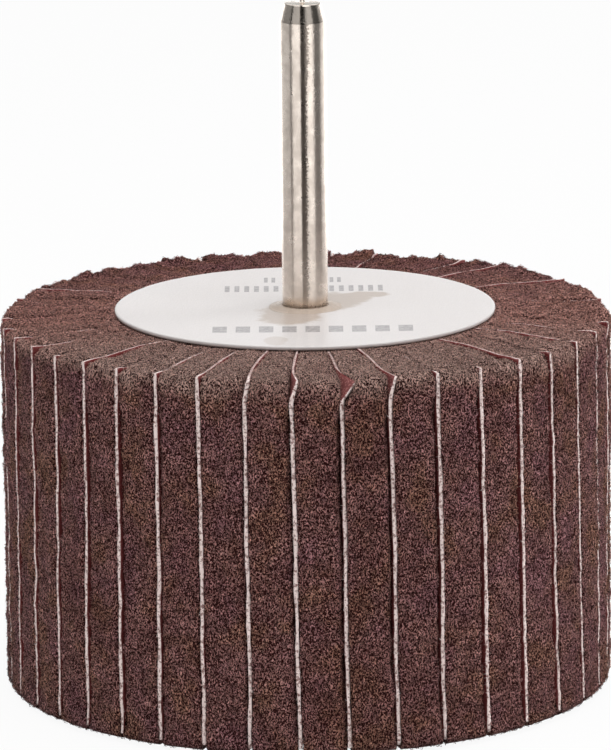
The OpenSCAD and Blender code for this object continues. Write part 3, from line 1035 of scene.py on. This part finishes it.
class FleeceSettings(PropertyGroup):
    """Sizes and colours of the fleece pads."""

    grid_step: length_property("Grid step", "Distance between the rows of a pad's surface", 0.6 * MM)
    columns: IntProperty(name="Columns", description="Points across a pad", default=11, min=5)
    raggedness: length_property("Raggedness", "How far the surface rises and falls", 0.55 * MM)
    fibres: IntProperty(name="Fibres", description="Loose fibres on each pad", default=2650, min=10)
    fibre_length: length_property("Fibre length", "Middle length of a loose fibre", 0.8 * MM)
    fibre_radius: length_property("Fibre radius", "Middle radius of a loose fibre", 0.05 * MM)
    # This colour is painted shade down in the pits between the fibres
    painted_shade_colour: colour_property("Painted shade colour", "Colour down in the pits", (0.028, 0.002, 0.002))
    fibre_colour: colour_property("Fibre colour", "Colour of most fibres", (0.225, 0.064, 0.062))
    light_colour: colour_property("Light colour", "Colour of the palest fibres", (0.96, 0.52, 0.48))
    # The worn and dust colours also hold painted sheen at the front of the upper face
    worn_and_sheen_colour: colour_property("Worn and sheen colour", "Worn fibres of the upper face", (0.96, 0.5, 0.42))
    dust_and_sheen_colour: colour_property("Dust and sheen colour", "Dusty fibres at the front", (0.96, 0.66, 0.57))
    # The patch colour also lays painted shade over the back of the upper face
    patch_and_shade_colour: colour_property("Patch and shade colour", "Tint of the darker patches", (0.66, 0.52, 0.52))
    tan_colour: colour_property("Tan colour", "Tint of the browner patches", (0.95, 0.95, 0.7))
    violet_colour: colour_property("Violet colour", "Tint of the more purple patches", (0.9, 0.84, 1.0))


class ClothSettings(PropertyGroup):
    """Sizes and colours of the abrasive cloth flaps."""

    thickness: length_property("Thickness", "Thickness of the cloth", 0.46 * MM)
    threads: IntProperty(name="Threads", description="Loose threads on each rim edge", default=150, min=1)
    face_colour: colour_property("Face colour", "Bond between the grains", (0.22, 0.07, 0.068))
    grain_colour: colour_property("Grain colour", "Abrasive grains", (0.52, 0.23, 0.21))
    face_patch: colour_property("Face patches", "Tint of the darker patches", (0.45, 0.4, 0.4))
    # This colour is painted shade on the faces down between the pads
    painted_shade_colour: colour_property("Painted shade colour", "Painted shade of the face down between the pads", (0.16, 0.02, 0.02))
    edge_colour: colour_property("Edge colour", "Pale threads of the cut edge", (1.0, 0.84, 0.8))
    edge_dark: colour_property("Edge shade", "Gaps between the threads of the cut edge", (0.3, 0.16, 0.145))


class DiscSettings(PropertyGroup):
    """Colours of the fibre discs and of the resin."""

    board_colour: colour_property("Board", "Colour of the fibre disc", (0.76, 0.725, 0.715))
    board_shade: colour_property("Board shade", "Darker grain of the disc", (0.71, 0.67, 0.66))
    # The cut rim colour is a slight tint of the rim at its top and painted shadow at its foot
    edge_colour: colour_property("Cut edge", "Cut rim of the fibre disc", (0.2, 0.17, 0.14))
    ink_colour: colour_property("Ink", "Grey of the plain print bars", (0.22, 0.21, 0.22))
    stain_colour: colour_property("Stain", "Resin soaked into the disc", (0.51, 0.425, 0.365))
    resin_colour: colour_property("Resin", "Cast resin", (0.55, 0.455, 0.385))
    resin_dark: colour_property("Resin shade", "Cloudy places of the resin", (0.47, 0.38, 0.31))


class ShankSettings(PropertyGroup):
    """Finish of the shank."""

    segments: IntProperty(name="Segments", description="Sides of the turned shank", default=72, min=24)
    steel_colour: colour_property("Steel", "Colour of the nickel plate", (0.93, 0.83, 0.74))
    steel_shade: colour_property("Steel shade", "Duller places of the plate", (0.78, 0.69, 0.61))
    # This colour paints a dark reflection down the front of the shank
    reflection_strip_colour: colour_property("Reflection strip", "Dark reflection painted down the front of the shank", (0.13, 0.1, 0.08))


class StudioSettings(PropertyGroup):
    """Camera and light."""

    lens: FloatProperty(name="Lens", description="Focal length of the camera", default=275.38,
                        unit="CAMERA")
    distance: length_property("Distance", "From the camera to the point it looks at", 0.7552)
    pitch: FloatProperty(name="Pitch", description="How far the camera looks down",
                         default=math.radians(12.866), subtype="ANGLE")
    roll: FloatProperty(name="Roll", description="Roll of the camera", default=math.radians(-0.57),
                        subtype="ANGLE")
    sky: FloatProperty(name="Sky", description="Light of the surroundings", default=0.4, min=0.0)
    overhead: power_property("Overhead", "Power of the lamp above", 3.65)
    left: power_property("Left", "Power of the lamp at the left", 0.3)
    right: power_property("Right", "Power of the lamp at the right", 2.4)


# Stage

# Bright and dark cards round the horizon, as degrees from the front and a level: those that the shank's
# wall reflects, and the higher ones that its taper reflects
GLOSS_BANDS = ((-180, 1.7), (-138, 1.7), (-130, 0.66), (-70, 0.62), (-66, 0.06), (-59, 0.06), (-55, 1.2),
               (-13, 1.3), (-10, 0.05), (12, 0.05), (18, 0.9), (28, 1.45), (52, 1.35), (60, 0.2),
               (94, 0.16), (106, 0.9), (122, 1.0), (132, 1.7), (180, 1.7))
TAPER_BANDS = ((-180, 1.5), (-138, 1.4), (-128, 0.6), (-64, 0.64), (-60, 0.98), (-12, 1.0), (-9, 0.04),
               (2, 0.04), (6, 1.8), (52, 1.8), (56, 0.1), (82, 0.1), (88, 0.7), (128, 0.8), (138, 1.4),
               (180, 1.5))
# Point that the camera looks at
AIM = Vector((-0.058, 0, 40.749)) * MM


def bands(tree, share, levels):
    """Grey levels round the horizon as a colour, from pairs of angle and level."""
    ramp = add(tree, "ShaderNodeValToRGB", {"Fac": share})
    stops = ramp.color_ramp.elements
    stops.remove(stops[1])
    for number, (angle, level) in enumerate(levels):
        stop = stops[0] if number == 0 else stops.new(angle / 360 + 0.5)
        stop.position = angle / 360 + 0.5
        stop.color = (level, level, level, 1)
    return ramp.outputs[0]


def world_light(props):
    """White to the eye, soft grey to matt surfaces, and bright and dark cards to glossy ones."""
    world = bpy.data.worlds.new("Studio")
    bpy.context.scene.world = world
    world.use_nodes = True
    tree = world.node_tree
    back = tree.nodes["Background"]
    path = add(tree, "ShaderNodeLightPath").outputs
    x, y, z = split(tree, add(tree, "ShaderNodeTexCoord").outputs["Generated"])
    turn = maths(tree, "ARCTAN2", x, times(tree, y, -1.0))
    share = maths(tree, "MULTIPLY_ADD", turn, 1 / (2 * math.pi), 0.5)
    level = mix(tree, fit(tree, z, 0.03, 0.16, 0.0, 0.66), bands(tree, share, GLOSS_BANDS), (0, 0, 0))
    steep = fit(tree, maths(tree, "ABSOLUTE", z), 0.42, 0.62)
    cards = mix(tree, steep, level, bands(tree, share, TAPER_BANDS))
    sky = mix(tree, path["Is Glossy Ray"], (props.sky,) * 3, cards)
    seen = most(tree, path["Is Camera Ray"], path["Is Transmission Ray"])
    tree.links.new(mix(tree, seen, sky, (1, 1, 1)), back.inputs["Color"])


def floor_material():
    """Plain white floor that keeps a soft shadow."""
    material, tree, shader, _ = new_material("White floor")
    shader.inputs["Base Color"].default_value = (0.9, 0.9, 0.9, 1)
    shader.inputs["Roughness"].default_value = 0.9
    glow = add(tree, "ShaderNodeEmission", {"Color": (1, 1, 1, 1), "Strength": 1.0})
    path = add(tree, "ShaderNodeLightPath").outputs
    seen = most(tree, path["Is Camera Ray"], path["Is Transmission Ray"])
    both = add(tree, "ShaderNodeMixShader", {0: times(tree, seen, 0.93)})
    tree.links.new(shader.outputs[0], both.inputs[1])
    tree.links.new(glow.outputs[0], both.inputs[2])
    tree.links.new(both.outputs[0], tree.nodes["Material Output"].inputs[0])
    return material


def lamp(name, place, aim, size, power):
    """A square area lamp that looks at a point."""
    light = bpy.data.lights.new(name, "AREA")
    light.size = size
    light.energy = power
    made = bpy.data.objects.new(name, light)
    made.location = place
    made.rotation_euler = (Vector(aim) - Vector(place)).to_track_quat("-Z", "Y").to_euler()
    made.visible_glossy = False
    bpy.context.scene.collection.objects.link(made)


def camera(props):
    """The photograph's camera."""
    data = bpy.data.cameras.new("Camera")
    data.lens = props.lens
    data.sensor_width = 36.0
    made = bpy.data.objects.new("Camera", data)
    bpy.context.scene.collection.objects.link(made)
    back = Vector((0, -math.cos(props.pitch), math.sin(props.pitch)))
    right, up = Vector((1, 0, 0)), Vector((0, math.sin(props.pitch), math.cos(props.pitch)))
    across = right * math.cos(props.roll) + up * math.sin(props.roll)
    upward = up * math.cos(props.roll) - right * math.sin(props.roll)
    turned = Matrix((across, upward, back)).transposed().to_4x4()
    made.matrix_world = Matrix.Translation(AIM + back * props.distance) @ turned
    bpy.context.scene.camera = made


# Operators

def finish_piece(piece, slot, *nodes):
    """Seats a piece on the wheel's body and hides the CAD nodes it stands for; the slot is not used."""
    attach(piece, BODY)
    if nodes:
        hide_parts(*nodes)


class FLAPWHEEL_OT_fleece(Operator):
    """Makes the fleece pads between the flaps"""

    bl_idname = "flapwheel.fleece"
    bl_label = "Fleece Pads"

    def execute(self, context):
        props = context.scene.flapwheel_fleece
        material = fleece_material(props)
        for n, node in enumerate(PADS, 1):
            piece = fleece_pad(n, props, material)
            finish_piece(piece, "fleece", node)
        return {"FINISHED"}


class FLAPWHEEL_OT_cloth(Operator):
    """Makes the abrasive cloth flaps"""

    bl_idname = "flapwheel.cloth"
    bl_label = "Cloth Flaps"

    def execute(self, context):
        props = context.scene.flapwheel_cloth
        materials = cloth_materials(props)
        for n in range(1, COUNT + 1):
            piece = cloth_flap(n, props, materials)
            finish_piece(piece, "abrasive_cloth", CLOTHS[(n - 1) * len(CLOTHS) // COUNT])
        return {"FINISHED"}


class FLAPWHEEL_OT_discs(Operator):
    """Makes both fibre discs"""

    bl_idname = "flapwheel.discs"
    bl_label = "Fibre Discs"

    def execute(self, context):
        material = disc_material(context.scene.flapwheel_disc)
        for node, seed, lift in (("upper_disc", 41, 0.16), ("lower_disc", 47, 0.08)):
            low, high = corners(node)
            piece = turned_piece(f"fibre_{node}", disc_profile(low[2], high[2]), 120, material,
                                 disc_warp(seed, lift), hollow=True)
            finish_piece(piece, "fibre_disc", node)
        return {"FINISHED"}


class FLAPWHEEL_OT_resin(Operator):
    """Finishes the resin core and lays the skin of resin round the shank"""

    bl_idname = "flapwheel.resin"
    bl_label = "Resin"

    def execute(self, context):
        material = resin_material(context.scene.flapwheel_disc)
        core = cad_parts["resin_core"]
        core.data.materials.clear()
        core.data.materials.append(material)
        finish_piece(glue_skin(material), "cast_resin")
        return {"FINISHED"}


class FLAPWHEEL_OT_shank(Operator):
    """Makes the turned steel shank"""

    bl_idname = "flapwheel.shank"
    bl_label = "Shank"

    def execute(self, context):
        props = context.scene.flapwheel_shank
        piece = turned_piece("steel_shank", shank_profile(), props.segments, steel_material(props))
        finish_piece(piece, "nickel_steel", "shank")
        return {"FINISHED"}


class FLAPWHEEL_OT_stage(Operator):
    """Makes the floor, the light and the camera"""

    bl_idname = "flapwheel.stage"
    bl_label = "Studio"

    def execute(self, context):
        props = context.scene.flapwheel_studio
        world_light(props)
        shell = Shell()
        reach = 3000.0
        ground = -0.02
        shell.add([(-reach, -reach, ground), (reach, -reach, ground), (reach, reach, ground),
                   (-reach, reach, ground)], [np.array([[0, 1, 2, 3]])], 0.5)
        floor = shell.make("floor", [floor_material()])
        floor.visible_glossy = False
        lamp("Lamp above", (0.05, -0.1, 0.75), (0, 0, 0.04), 0.5, props.overhead)
        lamp("Lamp left", (-0.6, -0.55, 0.35), (0, 0, 0.03), 0.4, props.left)
        lamp("Lamp right", (0.8, 0.25, 0.3), (0, 0, 0.03), 0.4, props.right)
        camera(props)
        context.scene.view_settings.view_transform = "Standard"
        return {"FINISHED"}


STEPS = (FLAPWHEEL_OT_stage, FLAPWHEEL_OT_shank, FLAPWHEEL_OT_resin, FLAPWHEEL_OT_discs,
         FLAPWHEEL_OT_cloth, FLAPWHEEL_OT_fleece)


class FLAPWHEEL_PT_sidebar(Panel):
    """Lists the steps and their settings"""

    bl_idname = "FLAPWHEEL_PT_sidebar"
    bl_label = "Flap Wheel"
    bl_space_type = "VIEW_3D"
    bl_region_type = "UI"
    bl_category = "Flap Wheel"

    def draw(self, context):
        for step in STEPS:
            self.layout.operator(step.bl_idname)
        for name in SETTINGS:
            box = self.layout.box()
            for field in SETTINGS[name].__annotations__:
                box.prop(getattr(context.scene, name), field)


SETTINGS = {
    "flapwheel_fleece": FleeceSettings,
    "flapwheel_cloth": ClothSettings,
    "flapwheel_disc": DiscSettings,
    "flapwheel_shank": ShankSettings,
    "flapwheel_studio": StudioSettings,
}


def register():
    """Registers the settings, the steps and the panel."""
    for name, group in SETTINGS.items():
        bpy.utils.register_class(group)
        setattr(bpy.types.Scene, name, PointerProperty(type=group))
    for step in STEPS:
        bpy.utils.register_class(step)
    bpy.utils.register_class(FLAPWHEEL_PT_sidebar)


def unregister():
    """Takes the panel, the steps and the settings out again."""
    bpy.utils.unregister_class(FLAPWHEEL_PT_sidebar)
    for step in reversed(STEPS):
        bpy.utils.unregister_class(step)
    for name, group in SETTINGS.items():
        delattr(bpy.types.Scene, name)
        bpy.utils.unregister_class(group)


def main():
    """Dresses the frame step by step."""
    register()
    bpy.ops.flapwheel.stage()
    bpy.ops.flapwheel.shank()
    bpy.ops.flapwheel.resin()
    bpy.ops.flapwheel.discs()
    bpy.ops.flapwheel.cloth()
    bpy.ops.flapwheel.fleece()


if __name__ == "__main__":
    main()
